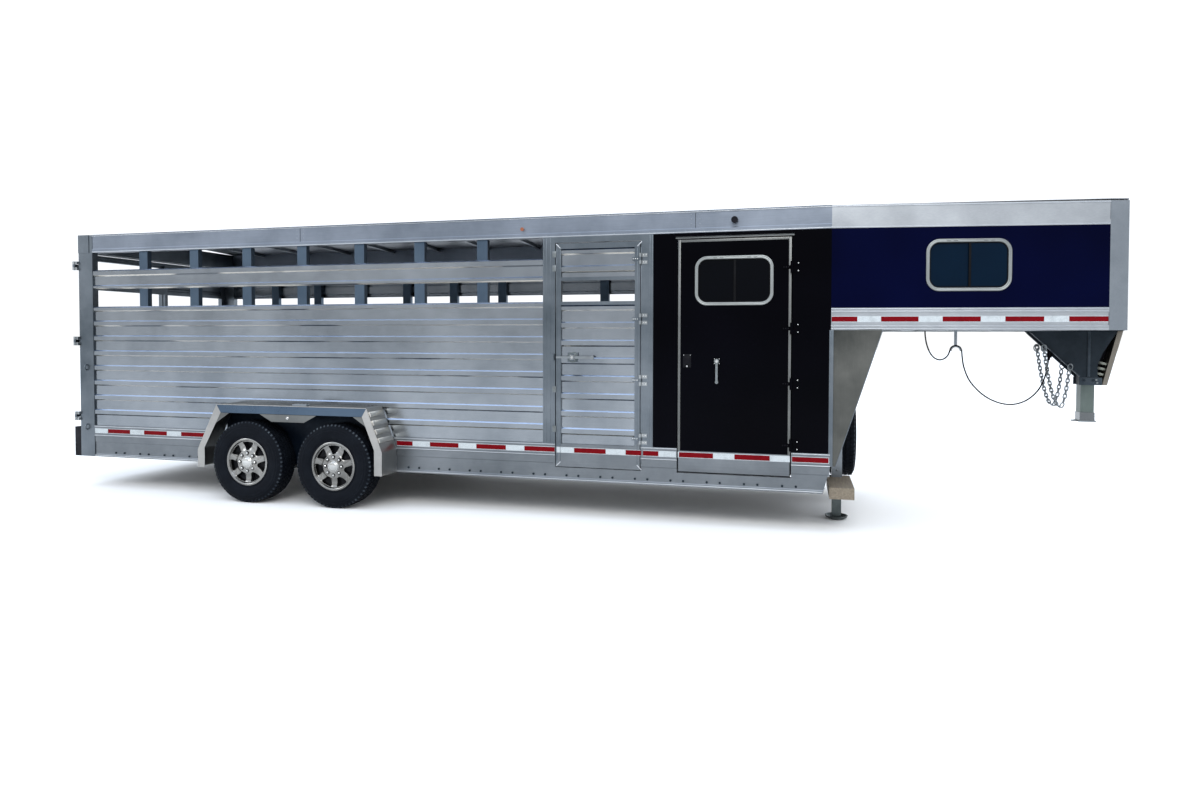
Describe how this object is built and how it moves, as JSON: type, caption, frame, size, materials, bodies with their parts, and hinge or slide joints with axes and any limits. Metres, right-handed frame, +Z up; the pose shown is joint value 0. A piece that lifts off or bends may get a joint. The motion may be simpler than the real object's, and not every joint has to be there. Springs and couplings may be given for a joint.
{
  "type": "livestock trailer",
  "caption": "Gooseneck stock trailer: ribbed slotted livestock box, tack room under a raised tapered nose, tandem wheels, side doors, rear gate, jack and coupler.",
  "frame": {"origin": "on the ground, in the middle of the overall length and width", "axes": "+X forward to the gooseneck coupler, +Y to the trailer's left, +Z up; the doors are on the right side, -Y"},
  "size_m": [9.854, 2.57, 2.61],
  "materials": {
    "mill_aluminium": "brushed mill aluminium",
    "rail_aluminium": "extruded, lightly weathered",
    "ribbed_sheet": "bright rolled sheet",
    "painted_skin": "gloss black with a blue tint",
    "window_trim": "satin grey trim",
    "dark_glass": "dark tinted glass",
    "dark_steel": "satin dark grey paint",
    "zinc_steel": "zinc plated",
    "tyre_rubber": "black tyre rubber",
    "bumper_rubber": "black rubber",
    "wheel_alloy": "machined alloy",
    "lamp_lens": "amber lens",
    "timber": "weathered timber",
    "cable_jacket": "black cable jacket"
  },
  "bodies": {
    "trailer": {"floor_deck": "mill_aluminium", "cross_members": "mill_aluminium", "bottom_rails": "rail_aluminium", "side_posts": "mill_aluminium", "side_panels": "ribbed_sheet", "top_rails": "rail_aluminium", "rear_frame": "mill_aluminium", "rear_bumper": "bumper_rubber", "roof_bows": "mill_aluminium", "roof_skin": "mill_aluminium", "tack_bulkhead": "mill_aluminium", "tack_skins": "painted_skin", "front_wall": "mill_aluminium", "step_gussets": "mill_aluminium", "front_beam": "timber", "nose_floor": "mill_aluminium", "nose_bottom_rails": "rail_aluminium", "nose_top_rails": "rail_aluminium", "nose_corner_posts": "mill_aluminium", "nose_skins": "painted_skin", "nose_front": "painted_skin", "nose_window_frames": "window_trim", "nose_glass": "dark_glass", "door_jambs": "mill_aluminium", "hinge_leaves": "zinc_steel", "fenders": "mill_aluminium", "axles": "dark_steel", "lamps": "lamp_lens", "gooseneck_neck": "dark_steel", "safety_chains": "zinc_steel", "jack_housing": "mill_aluminium", "spare_mount": "dark_steel", "spare_tyre": "tyre_rubber", "spare_rim": "wheel_alloy", "trailer_cord": "cable_jacket", "trailer_plug": "cable_jacket"},
    "stock_door": {"stock_door_frame": "mill_aluminium", "stock_door_panel": "ribbed_sheet"},
    "stock_latch": {"stock_latch": "zinc_steel"},
    "tack_door": {"tack_door": "painted_skin", "tack_window_frame": "window_trim", "tack_glass": "dark_glass"},
    "tack_pane": {"tack_pane": "dark_glass"},
    "tack_handle": {"tack_handle": "zinc_steel"},
    "nose_pane": {"nose_pane": "dark_glass"},
    "gate": {"gate_frame": "mill_aluminium"},
    "gate_slider": {"gate_slider": "mill_aluminium"},
    "gate_latch": {"gate_latch": "zinc_steel"},
    "coupler": {"coupler_tube": "dark_steel"},
    "coupler_latch": {"coupler_latch": "zinc_steel"},
    "jack_leg": {"jack_leg": "zinc_steel"},
    "jack_crank": {"jack_crank": "zinc_steel"},
    "wheel_right_rear": {"tyre_right_rear": "tyre_rubber", "rim_right_rear": "wheel_alloy"},
    "wheel_right_front": {"tyre_right_front": "tyre_rubber", "rim_right_front": "wheel_alloy"},
    "wheel_left_rear": {"tyre_left_rear": "tyre_rubber", "rim_left_rear": "wheel_alloy"},
    "wheel_left_front": {"tyre_left_front": "tyre_rubber", "rim_left_front": "wheel_alloy"}
  },
  "joints": [
    {"name": "wheel_right_rear_spin", "type": "hinge", "parent": "trailer", "child": "wheel_right_rear", "pos_m": [-2.648, -1.1595, 0.382], "axis": [0, 1, 0], "continuous": true},
    {"name": "wheel_right_front_spin", "type": "hinge", "parent": "trailer", "child": "wheel_right_front", "pos_m": [-1.736, -1.1595, 0.382], "axis": [0, 1, 0], "continuous": true},
    {"name": "wheel_left_rear_spin", "type": "hinge", "parent": "trailer", "child": "wheel_left_rear", "pos_m": [-2.648, 1.1595, 0.382], "axis": [0, 1, 0], "continuous": true},
    {"name": "wheel_left_front_spin", "type": "hinge", "parent": "trailer", "child": "wheel_left_front", "pos_m": [-1.736, 1.1595, 0.382], "axis": [0, 1, 0], "continuous": true},
    {"name": "stock_door_swing", "type": "hinge", "parent": "trailer", "child": "stock_door", "pos_m": [1.033, -1.046, 0.45], "axis": [0, 0, 1], "range_deg": [0, 165]},
    {"name": "stock_latch_turn", "type": "hinge", "parent": "stock_door", "child": "stock_latch", "pos_m": [0.445, -1.03, 1.376], "axis": [0, -1, 0], "range_deg": [0, 90]},
    {"name": "tack_door_swing", "type": "hinge", "parent": "trailer", "child": "tack_door", "pos_m": [2.252, -1.046, 0.45], "axis": [0, 0, 1], "range_deg": [0, 165]},
    {"name": "tack_handle_turn", "type": "hinge", "parent": "tack_door", "child": "tack_handle", "pos_m": [1.666, -1.03, 1.355], "axis": [0, -1, 0], "range_deg": [0, 90]},
    {"name": "tack_window_slide", "type": "slide", "parent": "tack_door", "child": "tack_pane", "axis": [1, 0, 0], "range_m": [0, 0.19]},
    {"name": "nose_window_slide", "type": "slide", "parent": "trailer", "child": "nose_pane", "axis": [0.9903, 0.1391, 0], "range_m": [0, 0.19]},
    {"name": "gate_swing", "type": "hinge", "parent": "trailer", "child": "gate", "pos_m": [-4.889, -1.05, 0.45], "axis": [0, 0, 1], "range_deg": [0, 250]},
    {"name": "gate_slider_slide", "type": "slide", "parent": "gate", "child": "gate_slider", "axis": [0, 1, 0], "range_m": [0, 0.9]},
    {"name": "gate_latch_turn", "type": "hinge", "parent": "gate", "child": "gate_latch", "pos_m": [-4.849, 0.807, 1.376], "axis": [-1, 0, 0], "range_deg": [0, 90]},
    {"name": "coupler_height", "type": "slide", "parent": "trailer", "child": "coupler", "axis": [0, 0, 1], "range_m": [-0.15, 0.08]},
    {"name": "coupler_lock", "type": "slide", "parent": "coupler", "child": "coupler_latch", "axis": [1, 0, 0], "range_m": [0, 0.014]},
    {"name": "jack_extend", "type": "slide", "parent": "trailer", "child": "jack_leg", "axis": [0, 0, 1], "range_m": [-0.1, 0.23]},
    {"name": "jack_crank_spin", "type": "hinge", "parent": "trailer", "child": "jack_crank", "pos_m": [2.7134, 0, 1.18], "axis": [0, 1, 0], "continuous": true}
  ],
  "couplings": [
    {"joint": "jack_crank_spin", "follows": "jack_extend", "rad_per_m": 800}
  ]
}
